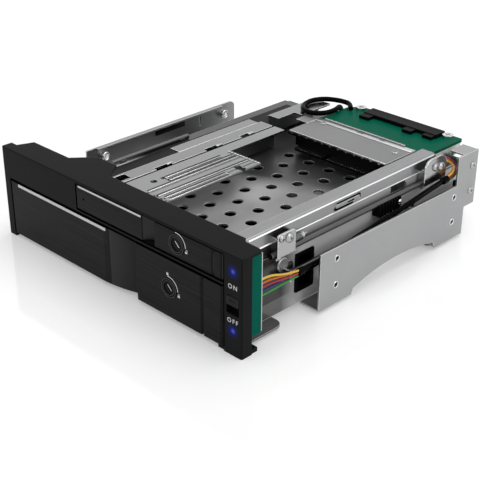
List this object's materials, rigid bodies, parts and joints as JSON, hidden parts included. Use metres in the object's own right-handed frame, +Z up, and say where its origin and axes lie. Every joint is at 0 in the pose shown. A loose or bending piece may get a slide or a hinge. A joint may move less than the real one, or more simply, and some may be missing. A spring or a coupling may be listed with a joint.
{
  "type": "hot swap drive cage",
  "caption": "Drive cage for a wide computer bay: locking doors over a thin bay and a thick bay, steel sheet frame, eject rods, boards and wiring.",
  "frame": {"origin": "middle of the footprint, on the surface that the cage stands on", "axes": "+X towards the switch end of the bezel, +Y from the bezel to the rear ports, +Z up"},
  "size_m": [0.148, 0.1616, 0.0436],
  "materials": {
    "black_frame": "smooth satin black",
    "black_door": "black, brushed along its length",
    "trim": "polished edge strip",
    "steel": "plain zinc-plated sheet, semi-gloss",
    "bright": "bright nickel plate",
    "dark_steel": "darker ground rod",
    "lock": "black with a satin collar",
    "led": "clear blue, lit",
    "knob": "fine matt",
    "board": "green solder mask",
    "socket": "black moulding",
    "white_socket": "natural white moulding",
    "film": "black insulating film",
    "rail": "black slide rail",
    "rubber": "matt rubber",
    "cable": "smooth black sleeve",
    "yellow": "wire insulation",
    "orange": "wire insulation",
    "red": "wire insulation",
    "blue": "wire insulation",
    "green": "wire insulation"
  },
  "bodies": {
    "cage": {"bezel": "black_frame", "door_hinge_pin": "bright", "led_lenses": "led", "switch_body": "socket", "front_board": "board", "front_wire_socket": "white_socket", "lower_tray": "steel", "deck": "steel", "bay_divider": "steel", "side_top_plate": "steel", "rear_side_plate": "steel", "insulation_sheet": "film", "stiffener_rod": "bright", "drive_rails": "rail", "upper_board": "board", "board_posts": "steel", "board_screws": "bright", "cross_plate": "steel", "upper_socket": "socket", "edge_connector": "socket", "rear_wire_plug": "white_socket", "backplane": "board", "lower_socket": "socket", "host_ports": "socket", "power_inlet": "white_socket", "right_bracket": "steel", "left_bracket": "steel", "feet": "rubber", "front_guide_bracket": "bright", "rear_guide_bracket": "bright", "guide_screws": "bright", "return_spring": "bright", "lower_rod_guides": "steel", "upper_rod_guide": "socket", "guide_rivet": "bright", "grommet": "rubber", "cable_sleeve": "cable", "loop_cable": "cable", "yellow_wire": "yellow", "orange_wire": "orange", "red_wire": "red", "blue_wire": "blue", "green_wire": "green"},
    "lower_door": {"lower_door_panel": "black_door", "lower_door_trim": "trim", "lower_handle_pin": "bright"},
    "lower_handle": {"lower_door_handle": "black_door", "lower_lock_ring": "lock"},
    "lower_lock": {"lower_lock_cylinder": "lock"},
    "upper_door": {"upper_door_panel": "black_door", "upper_door_trim": "trim", "upper_handle_pin": "bright"},
    "upper_handle": {"upper_door_handle": "black_door", "upper_lock_ring": "lock"},
    "upper_lock": {"upper_lock_cylinder": "lock"},
    "switch": {"switch_knob": "knob"},
    "upper_rod": {"upper_eject_rod": "dark_steel"},
    "lower_rod": {"lower_eject_rod": "dark_steel"}
  },
  "joints": [
    {"name": "lower_door_hinge", "type": "hinge", "parent": "cage", "child": "lower_door", "pos_m": [0.0626, -0.07895, 0.0145], "axis": [0, 0, 1], "range_deg": [0, 95]},
    {"name": "lower_handle_pivot", "type": "hinge", "parent": "lower_door", "child": "lower_handle", "pos_m": [0.0518, -0.07895, 0.0145], "axis": [0, 0, 1], "range_deg": [0, 20], "stiffness_Nm_per_rad": 0.02, "springref_deg": -5.73},
    {"name": "lower_lock_turn", "type": "hinge", "parent": "lower_handle", "child": "lower_lock", "pos_m": [0.0344, -0.07865, 0.0149], "axis": [0, 1, 0], "range_deg": [0, 90]},
    {"name": "lower_rod_slide", "type": "slide", "parent": "cage", "child": "lower_rod", "axis": [0, -1, 0], "range_m": [0, 0.006]},
    {"name": "upper_door_hinge", "type": "hinge", "parent": "cage", "child": "upper_door", "pos_m": [0.0626, -0.07895, 0.0356], "axis": [0, 0, 1], "range_deg": [0, 95]},
    {"name": "upper_handle_pivot", "type": "hinge", "parent": "upper_door", "child": "upper_handle", "pos_m": [0.0578, -0.07895, 0.0356], "axis": [0, 0, 1], "range_deg": [0, 20], "stiffness_Nm_per_rad": 0.02, "springref_deg": -5.73},
    {"name": "upper_lock_turn", "type": "hinge", "parent": "upper_handle", "child": "upper_lock", "pos_m": [0.0394, -0.07865, 0.0357], "axis": [0, 1, 0], "range_deg": [0, 90]},
    {"name": "upper_rod_slide", "type": "slide", "parent": "cage", "child": "upper_rod", "axis": [0, -1, 0], "range_m": [0, 0.006]},
    {"name": "switch_slide", "type": "slide", "parent": "cage", "child": "switch", "axis": [0, 0, -1], "range_m": [0, 0.0034]}
  ],
  "couplings": [
    {"joint": "lower_rod_slide", "follows": "lower_door_hinge", "m_per_rad": 0.0036},
    {"joint": "upper_rod_slide", "follows": "upper_door_hinge", "m_per_rad": 0.0036}
  ]
}
